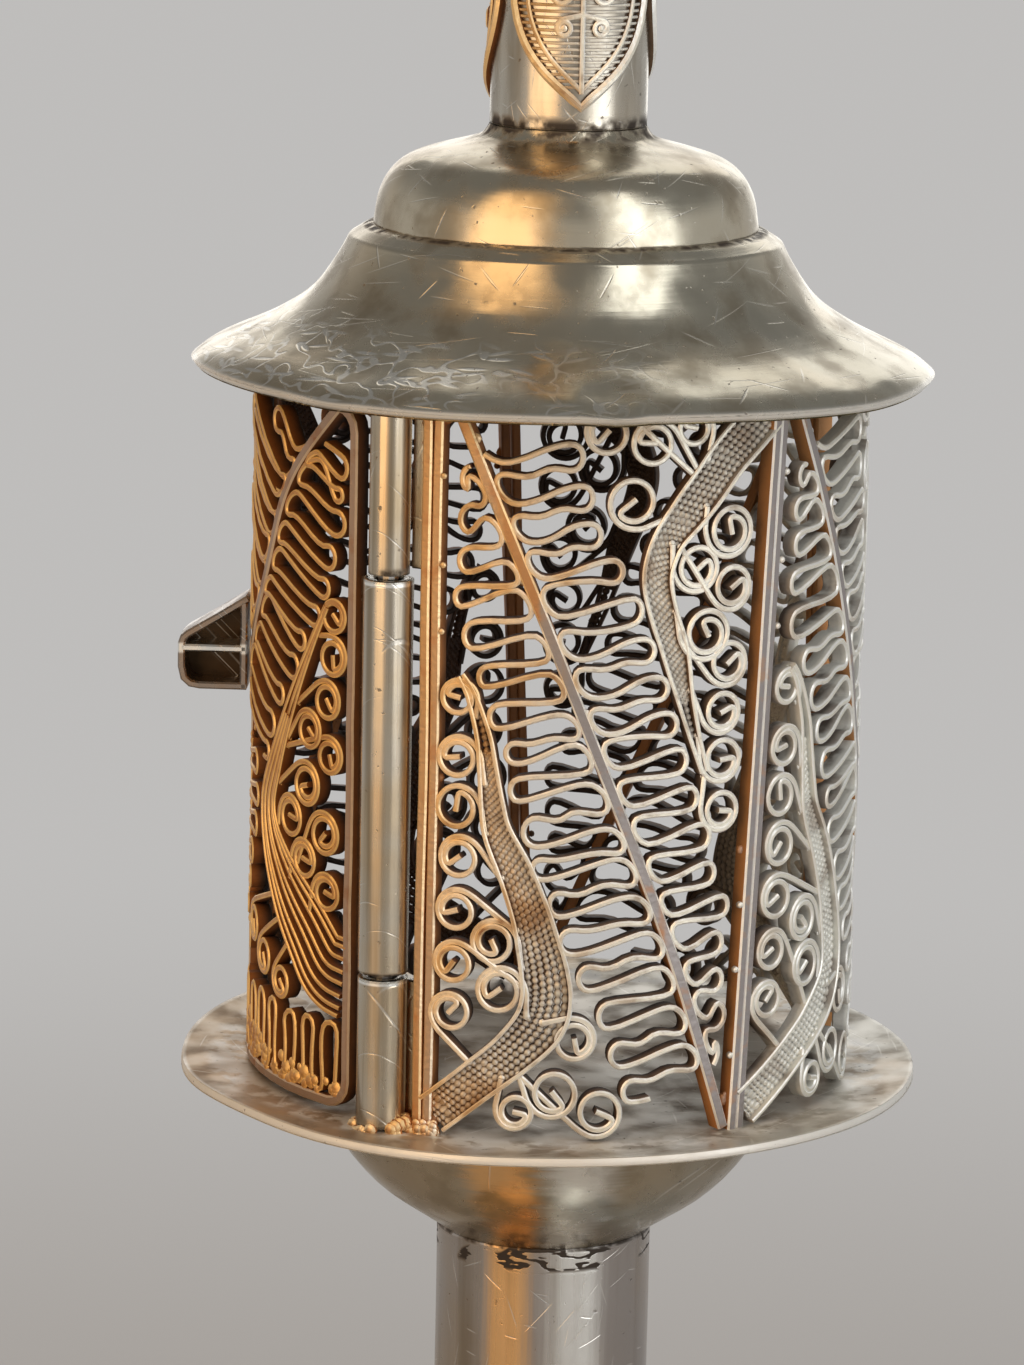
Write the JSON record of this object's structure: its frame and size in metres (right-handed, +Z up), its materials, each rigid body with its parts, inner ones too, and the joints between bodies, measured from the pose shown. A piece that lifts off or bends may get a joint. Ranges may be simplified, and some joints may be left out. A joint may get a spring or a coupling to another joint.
{
  "type": "spice tower",
  "caption": "Free-standing silver filigree spice tower: stepped foot, tube stem, round plate, caged chamber with a hinged door and thumb pull, bell roof and tapering spire.",
  "frame": {"origin": "centre of the foot's rim, on the surface that the tower stands on", "axes": "+Z up the spire; -Y towards the front, with the door's hinge on the front left and the door opening to -X"},
  "size_m": [0.058, 0.058, 0.2161],
  "materials": {
    "silver": "tarnished silver, worn bright on edges",
    "polished": "silver rubbed bright, scratched and dented",
    "filigree": "silver wire, gilt-brown tarnish in the recesses",
    "pin": "dull wire"
  },
  "bodies": {
    "tower": {"foot_ring": "silver", "foot_bell": "silver", "stem_tube": "silver", "stem_ring": "silver", "cup": "silver", "plate": "silver", "lower_hoop": "silver", "upper_hoop": "silver", "hinge_post": "silver", "post_1": "silver", "post_2": "silver", "post_3": "silver", "latch_post": "silver", "lower_knuckle": "silver", "upper_knuckle": "silver", "spire_tube": "silver", "spire_cone": "silver", "panel_1_diagonal": "silver", "panel_2_diagonal": "silver", "panel_3_diagonal": "silver", "panel_4_diagonal": "silver", "panel_1_lower_meander": "filigree", "panel_1_upper_meander": "filigree", "panel_1_lower_spray": "filigree", "panel_1_upper_spray": "filigree", "panel_2_lower_meander": "filigree", "panel_2_upper_meander": "filigree", "panel_2_lower_spray": "filigree", "panel_2_upper_spray": "filigree", "panel_3_lower_meander": "filigree", "panel_3_upper_meander": "filigree", "panel_3_lower_spray": "filigree", "panel_3_upper_spray": "filigree", "panel_4_lower_meander": "filigree", "panel_4_upper_meander": "filigree", "panel_4_lower_spray": "filigree", "panel_4_upper_spray": "filigree", "roof_bell": "polished", "roof_drum": "polished", "finial_ball": "polished", "finial_tip": "polished", "hinge_pin": "pin"},
    "door": {"door_frame": "silver", "door_diagonal": "silver", "door_lower_meander": "filigree", "door_upper_meander": "filigree", "door_spray": "filigree", "door_skirt_wire": "filigree", "door_pull": "polished", "door_knuckle": "polished"}
  },
  "joints": [
    {"name": "door_swing", "type": "hinge", "parent": "tower", "child": "door", "pos_m": [-0.01113, -0.01816, 0.1079], "axis": [0, 0, 1], "range_deg": [0, 120]}
  ]
}
